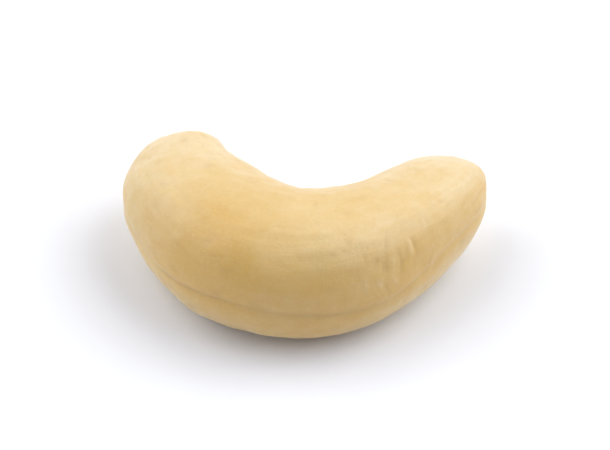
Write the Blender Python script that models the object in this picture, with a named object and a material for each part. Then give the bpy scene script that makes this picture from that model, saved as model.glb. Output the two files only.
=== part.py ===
"""Roasted cashew nut: one whole, peeled kernel that lies on its flatter cheek.

Metres, +Z up. The nut's C lies level: the fat end is at -X, the thin end at +X, the
round back faces -Y and the crook faces +Y. The origin is on the resting surface,
under the middle of the nut's box.
"""

import math

import bmesh
import bpy
import numpy as np
from mathutils import Vector, noise

MM = 0.001

# Overall size
NUT_LENGTH = 28.0  # end to end, in mm. The whole nut is scaled to it

# The shape, in mm at that length. X runs along the nut and Y towards the crook
SPINE = ((-11.5, 9.9), (-8.9, -7.6), (4.1, -6.6), (11.4, 7.0))  # Bezier points, fat end first
HALF_HEIGHT = (6.9, 6.4, 6.0, 5.2, 6.6)  # spine to back or crook, at five even stations
UPPER_CHEEK = (4.9, 5.4, 5.4, 5.0, 4.2)  # spine to the cheek that shows
LOWER_CHEEK = (5.3, 5.2, 5.2, 5.2, 5.3)  # spine to the flatter cheek it lies on
SECTION_POWER = 2.3  # 2 is an ellipse, and more is squarer
BACK_FULLNESS = 0.06  # how much thicker the section is towards the back

# How blunt each end is: higher is blunter, as (fat end, thin end)
BACK_CAP = (5.0, 2.3)
CROOK_CAP = (2.2, 4.5)
UPPER_CAP = (2.8, 2.6)
LOWER_CAP = (4.0, 3.6)

# The fold pressed into the crook, and the beak at the inner corner of the fat end.
# Places and widths are along the nut, from -1 at the fat end to 1 at the thin end.
# A higher sharpness keeps the full height closer to the ends
FOLD_DEPTH = 0.6
FOLD_AT = -0.13
FOLD_WIDTH = 0.37
FOLD_SHARPNESS = 4
BEAK_HEIGHT = 0.55
BEAK_AT = -0.93
BEAK_WIDTH = 0.07
BEAK_SHARPNESS = 40

# The seam where the two halves of the seed meet, all round the outline.
# It is plainest by the fat end, and fades over the thin half
SEAM_BACK_DEPTH = 0.17
SEAM_CROOK_DEPTH = 0.1
SEAM_WIDTH = 0.45
SEAM_SHARPNESS = 8
SEAM_FADE = 0.65
SEAM_FADE_AT = 0.3
SEAM_FADE_WIDTH = 0.6
SEAM_BACK_WANDER = 0.5
SEAM_CROOK_WANDER = 0.2
SEAM_BENDS = 7.5
SEAM_START = 2.73

# The pit beside the beak, with the tip of the germ in it
PIT_AT = -0.83
PIT_DEPTH = 0.5
PIT_WIDTH = 1.3
GERM_HEIGHT = 0.45
GERM_WIDTH = 0.65

# Soft unevenness from growing and roasting
LUMP_HEIGHT = 0.16
LUMP_SPACING = 5.5

# Swellings of this one nut, and a flat with a height below nothing: place, height and width
SWELLINGS = (
    ((-9.6, 8.6, 2.4), 0.35, 2.2),  # crown of the fat end
    ((-14.2, 6.0, 2.6), -0.3, 2.4),  # flat beside it, on the outer shoulder
    ((-15.6, 2.2, 0.8), 0.25, 2.4),  # outer side of the fat end
    ((12.2, 1.2, -0.6), 0.2, 2.0),  # outer side of the thin end
)

# The worn spot it rests on
REST_CUT = 0.32

# Mesh
SIDES_AROUND = 48
RINGS_ALONG = 64
GATHER_AT_SEAM = 0.45
MERGE_DISTANCE = 0.1  # joins the crowded points at the two ends

ROASTED_CREAM = (0.80, 0.57, 0.28, 1.0)
WAXY_ROUGHNESS = 0.45
SHARP_ANGLE = math.radians(18)


def clear_scene():
    """Remove whatever the open file holds."""
    for obj in list(bpy.data.objects):
        bpy.data.objects.remove(obj, do_unlink=True)


def spine_frame(along):
    """Point on the spine and the direction out towards the back, for along in -1 to 1."""
    t = (along + 1) / 2
    p0, p1, p2, p3 = (Vector((x, y, 0.0)) for x, y in SPINE)
    u = 1 - t
    point = u**3 * p0 + 3 * u * u * t * p1 + 3 * u * t * t * p2 + t**3 * p3
    ahead = 3 * u * u * (p1 - p0) + 6 * u * t * (p2 - p1) + 3 * t * t * (p3 - p2)
    ahead.normalize()
    return point, Vector((ahead.y, -ahead.x, 0.0))


def station_curve(stations):
    """Smooth curve through five even stations along the nut."""
    return np.poly1d(np.polyfit(np.linspace(-1, 1, len(stations)), stations, len(stations) - 1))


def ease_off(along, sharpness):
    """1 over most of the nut, falling to nothing at its two ends."""
    return 1 - abs(along) ** sharpness


def cap(along, fat_and_thin):
    """Share of the full section that is left at a place along the nut."""
    bluntness = fat_and_thin[0] if along < 0 else fat_and_thin[1]
    return math.sqrt(max(0.0, ease_off(along, bluntness)))


def bell(away, width):
    """1 at no distance, falling smoothly to nothing past the width."""
    return math.exp(-((away / width) ** 2))


def squared(value):
    """Sine or cosine bent from a circle to the squarer section."""
    return math.copysign(abs(value) ** (2 / SECTION_POWER), value)


def nut_point(along, angle, half_height, upper_cheek, lower_cheek):
    """Point on the smooth nut. Angle 0 is the back, a quarter turn is the upper cheek."""
    point, outward = spine_frame(along)
    across = squared(math.cos(angle))
    up = squared(math.sin(angle)) * (1 + BACK_FULLNESS * math.cos(angle))
    if across > 0:
        reach = cap(along, BACK_CAP) * half_height(along)
    else:
        fold = FOLD_DEPTH * bell(along - FOLD_AT, FOLD_WIDTH) * ease_off(along, FOLD_SHARPNESS)
        beak = BEAK_HEIGHT * bell(along - BEAK_AT, BEAK_WIDTH) * ease_off(along, BEAK_SHARPNESS)
        reach = cap(along, CROOK_CAP) * half_height(along) - fold + beak
    if up > 0:
        thick = cap(along, UPPER_CAP) * upper_cheek(along)
    else:
        thick = cap(along, LOWER_CAP) * lower_cheek(along)
    return point + outward * (across * reach) + Vector((0.0, 0.0, up * thick))


def seam_press(along, angle, height):
    """Depth of the groove between the two halves of the seed."""
    to_back = 0.5 + 0.5 * math.cos(angle) * ease_off(along, SEAM_SHARPNESS)
    wander = SEAM_CROOK_WANDER + (SEAM_BACK_WANDER - SEAM_CROOK_WANDER) * to_back
    middle = wander * math.sin(SEAM_BENDS * along + SEAM_START)
    depth = SEAM_CROOK_DEPTH + (SEAM_BACK_DEPTH - SEAM_CROOK_DEPTH) * to_back
    fade = 1 - SEAM_FADE * bell(along - SEAM_FADE_AT, SEAM_FADE_WIDTH)
    return bell(height - middle, SEAM_WIDTH) * depth * fade


def germ_rise(place, pit):
    """Height of the germ's tip, less the depth of the pit that it sits in."""
    away = (place - pit).length
    return GERM_HEIGHT * bell(away, GERM_WIDTH) - PIT_DEPTH * bell(away, PIT_WIDTH)


def lump_rise(place):
    """Soft unevenness of the surface, with the nut's own swellings and dents."""
    rise = LUMP_HEIGHT * noise.noise(place / LUMP_SPACING)
    for centre, height, width in SWELLINGS:
        rise += height * bell((place - Vector(centre)).length, width)
    return rise


def shape_nut(bm):
    """Turn a unit sphere, with its poles at the nut's ends, into the nut."""
    curves = [station_curve(stations) for stations in (HALF_HEIGHT, UPPER_CHEEK, LOWER_CHEEK)]
    pit = nut_point(PIT_AT, math.pi, *curves)
    at = {}
    for vert in bm.verts:
        along = max(-1.0, min(1.0, -vert.co.z))
        angle = math.atan2(vert.co.y, vert.co.x)
        angle -= GATHER_AT_SEAM * math.sin(2 * angle) / 2
        at[vert] = (along, angle)
        vert.co = nut_point(along, angle, *curves)
    bm.normal_update()
    moved = {}
    for vert, (along, angle) in at.items():
        rise = germ_rise(vert.co, pit) + lump_rise(vert.co) - seam_press(along, angle, vert.co.z)
        moved[vert] = vert.co + vert.normal * rise
    for vert, place in moved.items():
        vert.co = place
    bmesh.ops.remove_doubles(bm, verts=bm.verts[:], dist=MERGE_DISTANCE)


def cut_rest(bm):
    """Cut the small flat spot that the nut rests on, and close it with one face."""
    lowest = min(vert.co.z for vert in bm.verts)
    geometry = bm.verts[:] + bm.edges[:] + bm.faces[:]
    plane = Vector((0.0, 0.0, lowest + REST_CUT))
    bmesh.ops.bisect_plane(bm, geom=geometry, plane_co=plane, plane_no=(0, 0, -1), clear_outer=True)
    rim = [edge for edge in bm.edges if edge.is_boundary]
    bmesh.ops.edgeloop_fill(bm, edges=rim)
    bmesh.ops.recalc_face_normals(bm, faces=bm.faces[:])


def size_and_place(bm):
    """Scale to the real length in metres and stand the box's bottom centre on the origin."""
    corners = np.array([vert.co[:] for vert in bm.verts])
    low, high = corners.min(axis=0), corners.max(axis=0)
    scale = NUT_LENGTH * MM / (high[0] - low[0])
    foot = Vector(((low[0] + high[0]) / 2, (low[1] + high[1]) / 2, low[2]))
    for vert in bm.verts:
        vert.co = (vert.co - foot) * scale


def roasted_material():
    """Waxy golden cream of a roasted, peeled kernel."""
    material = bpy.data.materials.new("roasted_cashew")
    material.use_nodes = True
    shader = material.node_tree.nodes["Principled BSDF"]
    shader.inputs["Base Color"].default_value = ROASTED_CREAM
    shader.inputs["Roughness"].default_value = WAXY_ROUGHNESS
    shader.inputs["Metallic"].default_value = 0.0
    material.diffuse_color = ROASTED_CREAM
    return material


def make_kernel(collection):
    """The whole kernel, in one solid."""
    bm = bmesh.new()
    bmesh.ops.create_uvsphere(bm, u_segments=SIDES_AROUND, v_segments=RINGS_ALONG, radius=1.0)
    shape_nut(bm)
    cut_rest(bm)
    size_and_place(bm)
    mesh = bpy.data.meshes.new("cashew_kernel")
    bm.to_mesh(mesh)
    bm.free()
    mesh.shade_smooth()
    mesh.set_sharp_from_angle(angle=SHARP_ANGLE)
    mesh.materials.append(roasted_material())
    kernel = bpy.data.objects.new("cashew_kernel", mesh)
    collection.objects.link(kernel)


def main():
    clear_scene()
    collection = bpy.data.collections.new("roasted_cashew_nut")
    bpy.context.scene.collection.children.link(collection)
    make_kernel(collection)


main()
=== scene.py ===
"""Looks of the roasted cashew nut: the fine surface, its waxy material, the light and the camera."""

import math

import bmesh
import bpy
import numpy as np
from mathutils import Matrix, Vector, noise


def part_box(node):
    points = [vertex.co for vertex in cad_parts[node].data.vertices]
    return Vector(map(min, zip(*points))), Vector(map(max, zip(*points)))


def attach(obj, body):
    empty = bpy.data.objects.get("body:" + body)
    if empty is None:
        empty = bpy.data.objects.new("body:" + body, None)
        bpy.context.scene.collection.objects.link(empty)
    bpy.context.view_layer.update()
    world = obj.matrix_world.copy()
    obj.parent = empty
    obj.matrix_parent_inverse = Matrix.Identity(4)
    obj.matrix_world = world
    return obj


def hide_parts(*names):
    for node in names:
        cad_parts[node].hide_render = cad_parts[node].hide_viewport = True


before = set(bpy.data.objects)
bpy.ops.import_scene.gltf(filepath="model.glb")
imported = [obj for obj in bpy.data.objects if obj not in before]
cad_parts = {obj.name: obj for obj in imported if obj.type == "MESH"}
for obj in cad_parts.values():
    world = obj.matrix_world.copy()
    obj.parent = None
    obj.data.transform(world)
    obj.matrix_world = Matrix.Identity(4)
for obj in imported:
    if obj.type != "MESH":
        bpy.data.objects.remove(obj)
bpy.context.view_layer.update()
NUT_LOW, NUT_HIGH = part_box("cashew_kernel")
MIDDLE = (NUT_LOW + NUT_HIGH) / 2

MM = 0.001
SEED = 7

# The nut's shape, in mm, with the same values as the CAD part. Places and widths along the
# nut go from -1 at the fat end to 1 at the thin end
SPINE = ((-11.5, 9.9), (-8.9, -7.6), (4.1, -6.6), (11.4, 7.0))
HALF_HEIGHT = (6.9, 6.4, 6.0, 5.2, 6.6)
UPPER_CHEEK = (4.9, 5.4, 5.4, 5.0, 4.2)
LOWER_CHEEK = (5.3, 5.2, 5.2, 5.2, 5.3)
SECTION_POWER = 2.3
BACK_FULLNESS = 0.06
BACK_CAP = (5.0, 2.3)
CROOK_CAP = (2.2, 4.5)
UPPER_CAP = (2.8, 2.6)
LOWER_CAP = (4.0, 3.6)
FOLD_DEPTH = 0.6
FOLD_AT = -0.13
FOLD_WIDTH = 0.37
FOLD_SHARPNESS = 4
BEAK_HEIGHT = 0.55
BEAK_AT = -0.93
BEAK_WIDTH = 0.07
BEAK_SHARPNESS = 40
SEAM_BACK_DEPTH = 0.17
SEAM_CROOK_DEPTH = 0.1
SEAM_WIDTH = 0.45
SEAM_SHARPNESS = 8
SEAM_FADE = 0.65
SEAM_FADE_AT = 0.3
SEAM_FADE_WIDTH = 0.6
SEAM_BACK_WANDER = 0.5
SEAM_CROOK_WANDER = 0.2
SEAM_BENDS = 7.5
SEAM_START = 2.73
PIT_AT = -0.83
PIT_DEPTH = 0.5
PIT_WIDTH = 1.3
GERM_HEIGHT = 0.45
GERM_WIDTH = 0.65
LUMP_HEIGHT = 0.16
LUMP_SPACING = 5.5
SWELLINGS = (
    ((-9.6, 8.6, 2.4), 0.35, 2.2),
    ((-14.2, 6.0, 2.6), -0.3, 2.4),
    ((-15.6, 2.2, 0.8), 0.25, 2.4),
    ((12.2, 1.2, -0.6), 0.2, 2.0),
)
REST_CUT = 0.32
GATHER_AT_SEAM = 0.45

# Mesh
SIDES_AROUND = 240
RINGS_ALONG = 400

# Fine surface, in mm. The nut is thought of as straight, with this girth and length
GIRTH_RADIUS = 5.7
HALF_LENGTH = 17.0
WRINKLE_HEIGHT = 0.035
WRINKLE_SPACING = (0.7, 0.7, 3.6)
WRINKLE_SEED = 5.2
DENT_HEIGHT = 0.07
DENT_SPACING = 2.4
DENT_SEED = 13.6
DIMPLE_HEIGHT = 0.03
DIMPLE_SPACING = 1.0
DIMPLE_SEED = 31.7

# The fine crack in the seam. It shivers up and down, comes and goes, and fades over the thin half
CRACK_DEPTH = 0.07
CRACK_WIDTH = 0.13
CRACK_SHIVER = 0.06
SHIVER_SPACING = 1.1
SHIVER_SEED = 3.1
CRACK_FADE = 0.85
CRACK_FADE_AT = 0.6
CRACK_STRENGTH = 0.6
CRACK_FAINTEST = 0.04
COMING_AND_GOING = 1.2
COMING_SPACING = 3.4
COMING_SEED = 9.4

# Shallow folds across the inside of the crescent, gathered near the middle of its length
CROOK_FOLD_HEIGHT = 0.05
CROOK_FOLD_COUNT = 9
CROOK_FOLD_EDGE = 0.25  # how far round into the crook they start
CROOK_FOLD_AT = -0.1
CROOK_FOLD_REACH = 0.55
CROOK_FOLD_BEND = 1.5
CROOK_FOLD_SPACING = 3.0
CROOK_FOLD_SEED = 21.3

# Small marks, in mm, with the least and the most of each. A slant of 0 lies across the nut
MARKS_REACH = 0.9  # how near the ends they come
POCK_COUNT = 110
POCK_WIDTH = (0.15, 0.32)
POCK_STRETCH = (1.0, 1.7)
POCK_SLANT = (0, 3)
POCK_DEPTH = (0.015, 0.045)
SCRATCH_COUNT = 60
SCRATCH_SLANT = (math.pi / 2, 0.4)  # the middle and the spread
SCRATCH_LENGTH = (0.5, 1.6)
SCRATCH_WIDTH = (0.12, 0.2)
SCRATCH_DEPTH = (0.01, 0.03)

# The scuffed place: its middle and spread, along and round the nut
SCUFF_COUNT = 34
SCUFF_PLACE = (0.38, 0.48)
SCUFF_SPREAD = (0.08, 0.16)
SCUFF_LENGTH = (0.35, 1.0)
SCUFF_WIDTH = 0.12
SCUFF_SLANT = (0.1, 0.15)  # the middle and the spread
SCUFF_DEPTH = (-0.035, 0.065)  # below nothing is a ridge

# Where the roasting went deepest: one shoulder, in mm, and the round back. A turn of 0 is the back
SHOULDER_PLACE = (-8.1, -5.0, 4.4)
SHOULDER_SPREAD = 4.0
GOLDEN_BACK = 0.85
GOLDEN_TURN = (math.radians(57), math.radians(5))  # where the gold starts, and where it is full
GOLDEN_MIDDLE = 0.35  # how far from the middle of the nut's length the under side keeps its gold, free of painted floor light
FAT_END_LOSS = 0.9  # how much of the back's gold is gone at the fat end
FAT_END_REACH = 0.55

# Where it is pale: both ends, and the under side towards the ends, which is painted paler for the
# light that the white floor throws up onto it
PALE_ENDS = 0.35
PALE_REACH = 0.3
# painted light from the white floor on the under side
FLOOR_LIGHT_UNDER = 0.25
UNDER_SHARPNESS = 3

# Painted shade in the seam's groove: a soft brown laid along it, darkest at the middle of the nut's
# length
GROOVE_SHADE_AT = 0.05
GROOVE_SHADE_REACH = 0.35
GROOVE_SHADE_WIDTH = 0.4

# Colours
CREAM = (0.685, 0.49, 0.21, 1.0)
GOLD = (0.625, 0.385, 0.10, 1.0)
PALE = (0.73, 0.565, 0.31, 1.0)
TOAST = (0.45, 0.26, 0.085, 1.0)
SEAM_BROWN = (0.38, 0.22, 0.08, 1.0)
SHEET_WHITE = (0.86, 0.86, 0.86, 1.0)
SHEET_SHADE = (0.84, 0.84, 0.84, 1.0)

# The range that most values of a noise texture lie in
USUAL_NOISE = (0.3, 0.7)

# Mottling of the roast: how fine it is, and the least and the most that it adds
STREAK_STRETCH = (1.0, 1.0, 0.2)
STREAKS = (1.5, -0.09, 0.09)
CLOUDS = (0.22, -0.15, 0.2)
BLOTCHES = (0.8, -0.16, 0.16)
SPECKS = (3.5, 0.0, 1.0)
SPECK_DETAIL = 5.0

# From and to which value a colour comes in, and its share at each
PALE_ROAST = (0.0, -0.4, 0.0, 1.0)
PALE_SPECKS = (0.6, 1.1, 0.0, 0.25)
TOAST_SPECKS = (0.35, -0.1, 0.0, 0.22)

# What is laid over the roast colour, with the value kept at each point, its strength, and its
# colour: painted shade in the seam's groove, painted shade in the marks' dents, painted highlight on
# their ridges, a browner patch over the germ's pit, and the crack
DENT_SHADE_DEPTH = 0.06  # depth of a dent whose painted shade is fully brown, in mm
RIDGE_HIGHLIGHT_MOST = -0.5  # how far a ridge goes the other way, into painted highlight
OVERLAYS = (
    # painted shade in the seam's groove
    ("groove_shade", 0.3, TOAST),
    # painted shade in the marks' dents, browner the deeper they are
    ("mark_depth_and_shade", 0.35, TOAST),
    # painted highlight on the marks' ridges, paler the higher they are
    ("mark_depth_and_shade", -0.8, PALE),
    ("germ", 0.25, TOAST),
    ("crack", 0.45, SEAM_BROWN),
)

# Gloss, light that passes under the surface, and grain
WAX_ROUGHNESS = (0.75, 0.38, 0.5)  # how fine its mottling is, and the glossiest and dullest
GLOW = 0.2
GLOW_COLOUR = (1.0, 0.5, 0.2)
GLOW_DEPTH = 1.2 * MM
SHEEN = 0.15
GRAIN_FINENESS = 5.0
GRAIN_STREAK_FINENESS = 2.2
GRAIN_STRENGTH = 0.6
GRAIN_DEPTH = 0.02 * MM

# The sheet that the nut lies on
SHEET_MOTTLE_FINENESS = 0.05
SHEET_ROUGHNESS = 0.9
SHEET_HALF_SIZE = 1.5
SHEET_GAP = 0.02 * MM

# Light: which way each lamp lies, how bright a white surface that faces it looks, and its colour
COOL = (0.97, 1.0, 1.07)
WARM = (1.03, 1.0, 0.95)
LAMPS = (
    ((-0.7, 0.07, 0.7), 0.34, COOL),
    ((0.7, 0.07, 0.7), 0.55, COOL),
    ((-0.5, 0.5, 0.7), 0.30, WARM),
    ((0.5, 0.5, 0.7), 0.33, WARM),
    ((0.0, 0.93, 0.37), 0.07, WARM),
    ((-0.9, -0.2, 0.35), 0.22, COOL),
    ((0.9, -0.2, 0.35), 0.15, COOL),
)
LAMP_SPREAD = math.radians(60)
SKY_COLOUR = (0.8, 0.95, 1.45, 1.0)
SKY_STRENGTH = 0.11

# The camera stands as in the photograph: above, on the side of the nut's round back
CAMERA_ELEVATION = math.radians(46)
CAMERA_DISTANCE = 0.42
CAMERA_NEAREST = 0.01
NUT_SHARE_OF_WIDTH = 0.6
SENSOR_WIDTH = 36.0


def bell(away, width):
    """1 at no distance, falling smoothly to nothing past the width."""
    return np.exp(-((away / width) ** 2))


def ease_off(along, sharpness):
    """1 over most of the nut, falling to nothing at its two ends."""
    return 1 - np.abs(along) ** sharpness


def distance(points, place):
    """How far each point is from a place."""
    return np.linalg.norm(points - np.array(place), axis=1)


def squared(value):
    """Sine or cosine bent from a circle to the squarer section."""
    return np.sign(value) * np.abs(value) ** (2 / SECTION_POWER)


def cap(along, fat_and_thin):
    """Share of the full section that is left at a place along the nut."""
    bluntness = np.where(along < 0, *fat_and_thin)
    return np.sqrt(np.clip(ease_off(along, bluntness), 0, 1))


def station_curve(stations, along):
    """Smooth curve through five even stations along the nut."""
    places = np.linspace(-1, 1, len(stations))
    return np.polyval(np.polyfit(places, stations, len(stations) - 1), along)


def spine_frame(along):
    """Points on the spine and the directions out towards the back."""
    t = ((along + 1) / 2)[:, None]
    u = 1 - t
    p0, p1, p2, p3 = (np.array(point) for point in SPINE)
    point = u**3 * p0 + 3 * u * u * t * p1 + 3 * u * t * t * p2 + t**3 * p3
    ahead = 3 * u * u * (p1 - p0) + 6 * u * t * (p2 - p1) + 3 * t * t * (p3 - p2)
    ahead /= np.linalg.norm(ahead, axis=1)[:, None]
    return point, np.stack([ahead[:, 1], -ahead[:, 0]], axis=1)


def smooth_nut(along, angle):
    """Points on the smooth nut. Angle 0 is the back, a quarter turn is the upper cheek."""
    point, outward = spine_frame(along)
    across = squared(np.cos(angle))
    up = squared(np.sin(angle)) * (1 + BACK_FULLNESS * np.cos(angle))
    height = station_curve(HALF_HEIGHT, along)
    fold = FOLD_DEPTH * bell(along - FOLD_AT, FOLD_WIDTH) * ease_off(along, FOLD_SHARPNESS)
    beak = BEAK_HEIGHT * bell(along - BEAK_AT, BEAK_WIDTH) * ease_off(along, BEAK_SHARPNESS)
    to_back = cap(along, BACK_CAP) * height
    to_crook = cap(along, CROOK_CAP) * height - fold + beak
    reach = across * np.where(across > 0, to_back, to_crook)
    upper = cap(along, UPPER_CAP) * station_curve(UPPER_CHEEK, along)
    lower = cap(along, LOWER_CAP) * station_curve(LOWER_CHEEK, along)
    plan = point + outward * reach[:, None]
    return np.column_stack([plan, up * np.where(up > 0, upper, lower)])


def noise_at(points, spacing, seed=0.0):
    """Smooth noise, from about -1 to 1, at each point."""
    spaced = points / np.array(spacing) + seed
    return np.array([noise.noise(Vector(place)) for place in spaced])


def straightened(along, angle):
    """Each point's place on the straight nut, in mm, with its length along Z."""
    side = np.cos(angle) * GIRTH_RADIUS
    up = np.sin(angle) * GIRTH_RADIUS
    return np.column_stack([side, up, along * HALF_LENGTH])


def back_share(along, angle):
    """1 on the round back, 0 in the crook, and a half at the two ends."""
    return 0.5 + 0.5 * np.cos(angle) * ease_off(along, SEAM_SHARPNESS)


def off_the_seam(along, angle, height):
    """How far each point lies above the middle of the seam, which wanders up and down."""
    wander = SEAM_CROOK_WANDER + (SEAM_BACK_WANDER - SEAM_CROOK_WANDER) * back_share(along, angle)
    return height - wander * np.sin(SEAM_BENDS * along + SEAM_START)


def seam_groove(along, angle, off_seam):
    """The broad groove between the two halves of the seed."""
    depth = SEAM_CROOK_DEPTH + (SEAM_BACK_DEPTH - SEAM_CROOK_DEPTH) * back_share(along, angle)
    fade = 1 - SEAM_FADE * bell(along - SEAM_FADE_AT, SEAM_FADE_WIDTH)
    return bell(off_seam, SEAM_WIDTH) * depth * fade


def seam_crack(along, off_seam, straight):
    """The fine line in the groove. 1 where it is plainest."""
    shiver = CRACK_SHIVER * noise_at(straight, SHIVER_SPACING, SHIVER_SEED)
    fade = 1 - CRACK_FADE * bell(along - CRACK_FADE_AT, SEAM_FADE_WIDTH)
    coming = COMING_AND_GOING * noise_at(straight, COMING_SPACING, COMING_SEED)
    strength = np.clip((CRACK_STRENGTH + coming) * fade, CRACK_FAINTEST, 1.0)
    return bell(off_seam - shiver, CRACK_WIDTH) * strength


def seam_groove_shade(along, off_seam):
    """Painted shade in the groove along the seam. 1 where it is darkest."""
    return bell(off_seam, GROOVE_SHADE_WIDTH) * bell(along - GROOVE_SHADE_AT, GROOVE_SHADE_REACH)


def germ_rise(points, pit):
    """The tip of the germ, less the pit that it sits in."""
    away = distance(points, pit)
    return GERM_HEIGHT * bell(away, GERM_WIDTH) - PIT_DEPTH * bell(away, PIT_WIDTH)


def lump_rise(points):
    """Soft unevenness, with the nut's own swellings and dents."""
    rise = LUMP_HEIGHT * noise_at(points, LUMP_SPACING)
    for centre, height, width in SWELLINGS:
        rise += height * bell(distance(points, centre), width)
    return rise


def crook_folds(along, angle, straight):
    """Shallow folds across the inside of the crescent."""
    in_crook = np.clip(-np.cos(angle) - CROOK_FOLD_EDGE, 0, 1)
    share = in_crook * bell(along - CROOK_FOLD_AT, CROOK_FOLD_REACH)
    bend = CROOK_FOLD_BEND * noise_at(straight, CROOK_FOLD_SPACING, CROOK_FOLD_SEED)
    return CROOK_FOLD_HEIGHT * share * np.sin(CROOK_FOLD_COUNT * math.pi * along + bend)


def mark(straight, along, turn, length, width, slant):
    """One long or round dent: 1 in the middle of it."""
    centre = straightened(along, turn)
    around = np.array([-math.sin(turn), math.cos(turn), 0.0])
    off = straight - centre
    across = off @ around
    long_way = across * math.cos(slant) + off[:, 2] * math.sin(slant)
    short_way = off[:, 2] * math.cos(slant) - across * math.sin(slant)
    same_side = off @ np.cross(around, (0.0, 0.0, 1.0)) > -GIRTH_RADIUS
    return bell(long_way, length) * bell(short_way, width) * same_side


def anywhere(rng):
    """A place along the nut and a turn round it, clear of the two ends."""
    along = rng.uniform(-MARKS_REACH, MARKS_REACH)
    return along, rng.uniform(-math.pi, math.pi)


def wear(straight):
    """Depth of the small pocks, the scratches, and the ridged and grooved place on the cheek."""
    rng = np.random.default_rng(SEED)
    depth = np.zeros(len(straight))
    for _ in range(POCK_COUNT):
        along, turn = anywhere(rng)
        width = rng.uniform(*POCK_WIDTH)
        length = width * rng.uniform(*POCK_STRETCH)
        pock = mark(straight, along, turn, length, width, rng.uniform(*POCK_SLANT))
        depth += rng.uniform(*POCK_DEPTH) * pock
    for _ in range(SCRATCH_COUNT):
        along, turn = anywhere(rng)
        slant = rng.normal(*SCRATCH_SLANT)
        length, width = rng.uniform(*SCRATCH_LENGTH), rng.uniform(*SCRATCH_WIDTH)
        scratch = mark(straight, along, turn, length, width, slant)
        depth += rng.uniform(*SCRATCH_DEPTH) * scratch
    for _ in range(SCUFF_COUNT):
        along, turn = rng.normal(SCUFF_PLACE, SCUFF_SPREAD)
        length, slant = rng.uniform(*SCUFF_LENGTH), rng.normal(*SCUFF_SLANT)
        scuff = mark(straight, along, turn, length, SCUFF_WIDTH, slant)
        depth += rng.uniform(*SCUFF_DEPTH) * scuff
    return depth


def gold_and_floor_light_share(points, along, angle):
    """1 where the roasting went deepest, and below 0 at the pale ends and on the under side, where
    the light from the white floor is painted in.
    """
    start, full = np.cos(GOLDEN_TURN)
    off_fat_end = 1 - FAT_END_LOSS * bell(along + 1, FAT_END_REACH)
    back = np.clip((np.cos(angle) - start) / (full - start), 0, 1) * off_fat_end
    shoulder = bell(distance(points, SHOULDER_PLACE), SHOULDER_SPREAD)
    # Painted light: the under side towards the ends is painted paler, for the light that the white
    # floor throws up onto it
    below = np.clip(-UNDER_SHARPNESS * np.sin(angle), 0, 1)
    under = below * (1 - bell(along, GOLDEN_MIDDLE))
    pale = PALE_ENDS * bell(1 - np.abs(along), PALE_REACH) + FLOOR_LIGHT_UNDER * under
    return np.clip(back * (1 - under) * GOLDEN_BACK + shoulder, 0, 1) - pale


def fitted(points):
    """The points with the flat that the nut rests on, moved onto the CAD box."""
    flat = points[:, 2].min() + REST_CUT
    points[:, 2] = np.maximum(points[:, 2], flat)
    low, high = points.min(axis=0), points.max(axis=0)
    scale = (NUT_HIGH.x - NUT_LOW.x) / (high[0] - low[0])
    foot = np.array([(low[0] + high[0]) / 2, (low[1] + high[1]) / 2, low[2]])
    return (points - foot) * scale + np.array([MIDDLE.x, MIDDLE.y, NUT_LOW.z])


def read_field(items, field):
    """A field of the mesh, as one row of three for each vertex."""
    values = np.empty(len(items) * 3, np.float32)
    items.foreach_get(field, values)
    return values.reshape(-1, 3).astype(float)


def move_points(mesh, points):
    """Moves the vertices."""
    mesh.vertices.foreach_set("co", points.astype(np.float32).ravel())
    mesh.update()


def keep_value(mesh, name, values):
    """Keeps a number or a place for each vertex, for the material."""
    wide = values.ndim == 2
    attribute = mesh.attributes.new(name, "FLOAT_VECTOR" if wide else "FLOAT", "POINT")
    attribute.data.foreach_set("vector" if wide else "value", values.astype(np.float32).ravel())


def ball_mesh(name):
    """A unit sphere with its poles on Z."""
    bm = bmesh.new()
    bmesh.ops.create_uvsphere(bm, u_segments=SIDES_AROUND, v_segments=RINGS_ALONG, radius=1.0)
    mesh = bpy.data.meshes.new(name)
    bm.to_mesh(mesh)
    bm.free()
    return mesh


def shape_kernel(mesh, along, angle):
    """Turns the ball into the nut, and keeps the values that its material needs."""
    points = smooth_nut(along, angle)
    move_points(mesh, points)
    normals = read_field(mesh.vertex_normals, "vector")
    straight = straightened(along, angle)
    pit = smooth_nut(np.array([PIT_AT]), np.array([math.pi]))[0]
    off_seam = off_the_seam(along, angle, points[:, 2])
    crack = seam_crack(along, off_seam, straight)
    mark_depth_and_shade = wear(straight)

    rise = lump_rise(points) + germ_rise(points, pit) + crook_folds(along, angle, straight)
    rise += WRINKLE_HEIGHT * noise_at(straight, WRINKLE_SPACING, WRINKLE_SEED)
    rise += DENT_HEIGHT * noise_at(points, DENT_SPACING, DENT_SEED)
    rise += DIMPLE_HEIGHT * noise_at(points, DIMPLE_SPACING, DIMPLE_SEED)
    rise -= seam_groove(along, angle, off_seam) + CRACK_DEPTH * crack + mark_depth_and_shade
    move_points(mesh, fitted(points + normals * rise[:, None]))

    keep_value(mesh, "straight", straight)
    # roast gold, less the painted floor light on the under side
    keep_value(mesh, "gold_and_floor_light", gold_and_floor_light_share(points, along, angle))
    keep_value(mesh, "crack", crack)
    # painted shade along the seam's groove
    keep_value(mesh, "groove_shade", seam_groove_shade(along, off_seam))
    # the marks' depth, which paints shade in their dents and highlight on their ridges
    keep_value(mesh, "mark_depth_and_shade", np.clip(mark_depth_and_shade / DENT_SHADE_DEPTH, RIDGE_HIGHLIGHT_MOST, 1))
    keep_value(mesh, "germ", bell(distance(points, pit), PIT_WIDTH))


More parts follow.
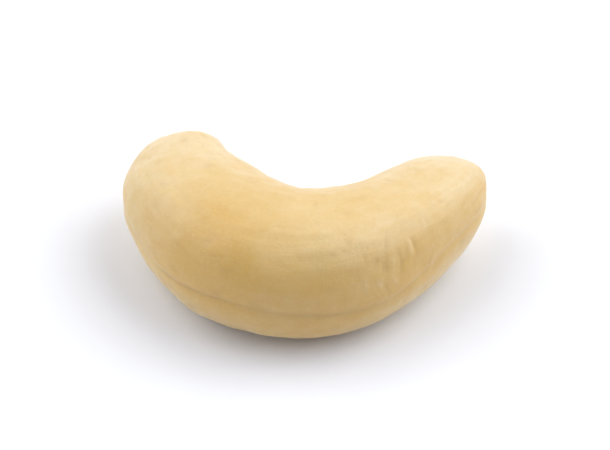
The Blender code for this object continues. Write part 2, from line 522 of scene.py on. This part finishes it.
def make_kernel():
    """The fine kernel, which stands for the CAD solid."""
    mesh = ball_mesh("cashew_nut")
    ball = read_field(mesh.vertices, "co")
    along = np.clip(-ball[:, 2], -1, 1)
    angle = np.arctan2(ball[:, 1], ball[:, 0])
    angle -= GATHER_AT_SEAM * np.sin(2 * angle) / 2
    shape_kernel(mesh, along, angle)
    mesh.shade_smooth()
    mesh.materials.append(kernel_material())
    kernel = bpy.data.objects.new("cashew_nut", mesh)
    bpy.context.scene.collection.objects.link(kernel)
    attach(kernel, "root")
    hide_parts("cashew_kernel")


class Shader:
    """A material's node tree, with short forms for the nodes that are used here."""

    def __init__(self, name):
        self.material = bpy.data.materials.new(name)
        self.material.use_nodes = True
        self.tree = self.material.node_tree
        self.surface = self.tree.nodes["Principled BSDF"]

    def feed(self, value, socket):
        """Links a value to a socket, or sets it there if it is plain."""
        if isinstance(value, bpy.types.NodeSocket):
            self.tree.links.new(value, socket)
        else:
            socket.default_value = value

    def place_in_mm(self):
        """Each point's place on the object."""
        mapping = self.tree.nodes.new("ShaderNodeMapping")
        coordinates = self.tree.nodes.new("ShaderNodeTexCoord")
        self.feed(coordinates.outputs["Object"], mapping.inputs["Vector"])
        self.feed((1 / MM,) * 3, mapping.inputs["Scale"])
        return mapping.outputs["Vector"]

    def stretched(self, vector, scale):
        """A place with each of its axes scaled."""
        mapping = self.tree.nodes.new("ShaderNodeMapping")
        self.feed(vector, mapping.inputs["Vector"])
        self.feed(scale, mapping.inputs["Scale"])
        return mapping.outputs["Vector"]

    def kept(self, name, output="Fac"):
        """A value that was kept for each vertex."""
        node = self.tree.nodes.new("ShaderNodeAttribute")
        node.attribute_name = name
        return node.outputs[output]

    def noise(self, vector, fineness, low=0.0, high=1.0, detail=4.0, roughness=0.6):
        """Noise whose usual range is spread from low to high."""
        node = self.tree.nodes.new("ShaderNodeTexNoise")
        self.feed(vector, node.inputs["Vector"])
        self.feed(fineness, node.inputs["Scale"])
        self.feed(detail, node.inputs["Detail"])
        self.feed(roughness, node.inputs["Roughness"])
        return self.spread(node.outputs["Fac"], *USUAL_NOISE, low, high)

    def spread(self, value, from_low, from_high, low, high):
        """A value moved from one range to another, and held within it."""
        node = self.tree.nodes.new("ShaderNodeMapRange")
        for socket, number in zip(node.inputs, (value, from_low, from_high, low, high)):
            self.feed(number, socket)
        return node.outputs["Result"]

    def combine(self, operation, *values):
        """Adds, multiplies and so on, one value after another."""
        total = values[0]
        for value in values[1:]:
            node = self.tree.nodes.new("ShaderNodeMath")
            node.operation = operation
            self.feed(total, node.inputs[0])
            self.feed(value, node.inputs[1])
            total = node.outputs[0]
        return total

    def mix(self, share, under, over):
        """One colour over another, by a share that is held between 0 and 1."""
        node = self.tree.nodes.new("ShaderNodeMix")
        node.data_type = "RGBA"
        self.feed(share, node.inputs["Factor"])
        colours = [socket for socket in node.inputs if socket.type == "RGBA"]
        self.feed(under, colours[0])
        self.feed(over, colours[1])
        return next(socket for socket in node.outputs if socket.type == "RGBA")


def roast_colour(shader, place, along_streaks):
    """Cream to gold, mottled, streaked and speckled, paler on the under side with painted light from
    the white floor, with painted shade and highlight laid over it, and the germ and the crack.
    """
    streaks = shader.noise(along_streaks, *STREAKS)
    clouds = shader.noise(place, *CLOUDS)
    blotches = shader.noise(place, *BLOTCHES)
    specks = shader.noise(place, *SPECKS, SPECK_DETAIL)
    # the gold share, with the painted floor light on the under side
    roast_and_floor_light = shader.combine("ADD", shader.kept("gold_and_floor_light"), clouds, blotches, streaks)
    colour = shader.mix(roast_and_floor_light, CREAM, GOLD)
    colour = shader.mix(shader.spread(roast_and_floor_light, *PALE_ROAST), colour, PALE)
    colour = shader.mix(shader.spread(specks, *PALE_SPECKS), colour, PALE)
    colour = shader.mix(shader.spread(specks, *TOAST_SPECKS), colour, TOAST)
    for name, strength, over in OVERLAYS:
        colour = shader.mix(shader.combine("MULTIPLY", shader.kept(name), strength), colour, over)
    return colour


def grain_normal(shader, place, along_streaks):
    """The finest grain of the surface."""
    even = shader.noise(place, GRAIN_FINENESS)
    streaked = shader.noise(along_streaks, GRAIN_STREAK_FINENESS)
    bump = shader.tree.nodes.new("ShaderNodeBump")
    bump.inputs["Strength"].default_value = GRAIN_STRENGTH
    bump.inputs["Distance"].default_value = GRAIN_DEPTH
    shader.feed(shader.combine("ADD", even, streaked), bump.inputs["Height"])
    return bump.outputs["Normal"]


def kernel_material():
    """Waxy roasted flesh, with a little light passing under its surface."""
    shader = Shader("roasted_cashew")
    place = shader.place_in_mm()
    along_streaks = shader.stretched(shader.kept("straight", "Vector"), STREAK_STRETCH)
    surface = shader.surface.inputs
    shader.feed(roast_colour(shader, place, along_streaks), surface["Base Color"])
    shader.feed(shader.noise(place, *WAX_ROUGHNESS), surface["Roughness"])
    surface["Subsurface Weight"].default_value = GLOW
    surface["Subsurface Radius"].default_value = GLOW_COLOUR
    surface["Subsurface Scale"].default_value = GLOW_DEPTH
    surface["Sheen Weight"].default_value = SHEEN
    shader.feed(grain_normal(shader, place, along_streaks), surface["Normal"])
    return shader.material


def sheet_material():
    """Matt white paper."""
    shader = Shader("white_sheet")
    mottle = shader.noise(shader.place_in_mm(), SHEET_MOTTLE_FINENESS)
    shader.feed(shader.mix(mottle, SHEET_WHITE, SHEET_SHADE), shader.surface.inputs["Base Color"])
    shader.surface.inputs["Roughness"].default_value = SHEET_ROUGHNESS
    shader.surface.inputs["Specular IOR Level"].default_value = 0.0
    return shader.material


def make_floor():
    """A plain white sheet under the nut."""
    bm = bmesh.new()
    bmesh.ops.create_grid(bm, x_segments=1, y_segments=1, size=SHEET_HALF_SIZE)
    mesh = bpy.data.meshes.new("floor")
    bm.to_mesh(mesh)
    bm.free()
    mesh.materials.append(sheet_material())
    floor = bpy.data.objects.new("floor", mesh)
    floor.location.z = NUT_LOW.z - SHEET_GAP
    bpy.context.scene.collection.objects.link(floor)


def put_facing(name, data, location):
    """Puts a lamp or the camera at a place, turned towards the nut."""
    obj = bpy.data.objects.new(name, data)
    obj.location = location
    obj.rotation_euler = (MIDDLE - location).to_track_quat("-Z", "Y").to_euler()
    bpy.context.scene.collection.objects.link(obj)
    return obj


def make_light():
    """Broad soft lamps at the sides, high and low, and behind, and a dim sky all round."""
    for number, (direction, brightness, colour) in enumerate(LAMPS):
        lamp = bpy.data.lights.new(f"lamp_{number}", "SUN")
        lamp.energy = math.pi * brightness
        lamp.color = colour
        lamp.angle = LAMP_SPREAD
        put_facing(f"lamp_{number}", lamp, MIDDLE + Vector(direction))
    world = bpy.data.worlds.new("studio")
    world.use_nodes = True
    sky = world.node_tree.nodes["Background"]
    sky.inputs["Color"].default_value = SKY_COLOUR
    sky.inputs["Strength"].default_value = SKY_STRENGTH
    bpy.context.scene.world = world
    bpy.context.scene.view_settings.view_transform = "Standard"


def make_camera():
    """A long lens, which frames the nut at a set share of the picture's width."""
    lens = bpy.data.cameras.new("camera")
    lens.sensor_width = SENSOR_WIDTH
    lens.lens = SENSOR_WIDTH * CAMERA_DISTANCE * NUT_SHARE_OF_WIDTH / (NUT_HIGH.x - NUT_LOW.x)
    lens.clip_start = CAMERA_NEAREST
    towards = Vector((0.0, -math.cos(CAMERA_ELEVATION), math.sin(CAMERA_ELEVATION)))
    camera = put_facing("camera", lens, MIDDLE + towards * CAMERA_DISTANCE)
    bpy.context.scene.camera = camera


make_kernel()
make_floor()
make_light()
make_camera()
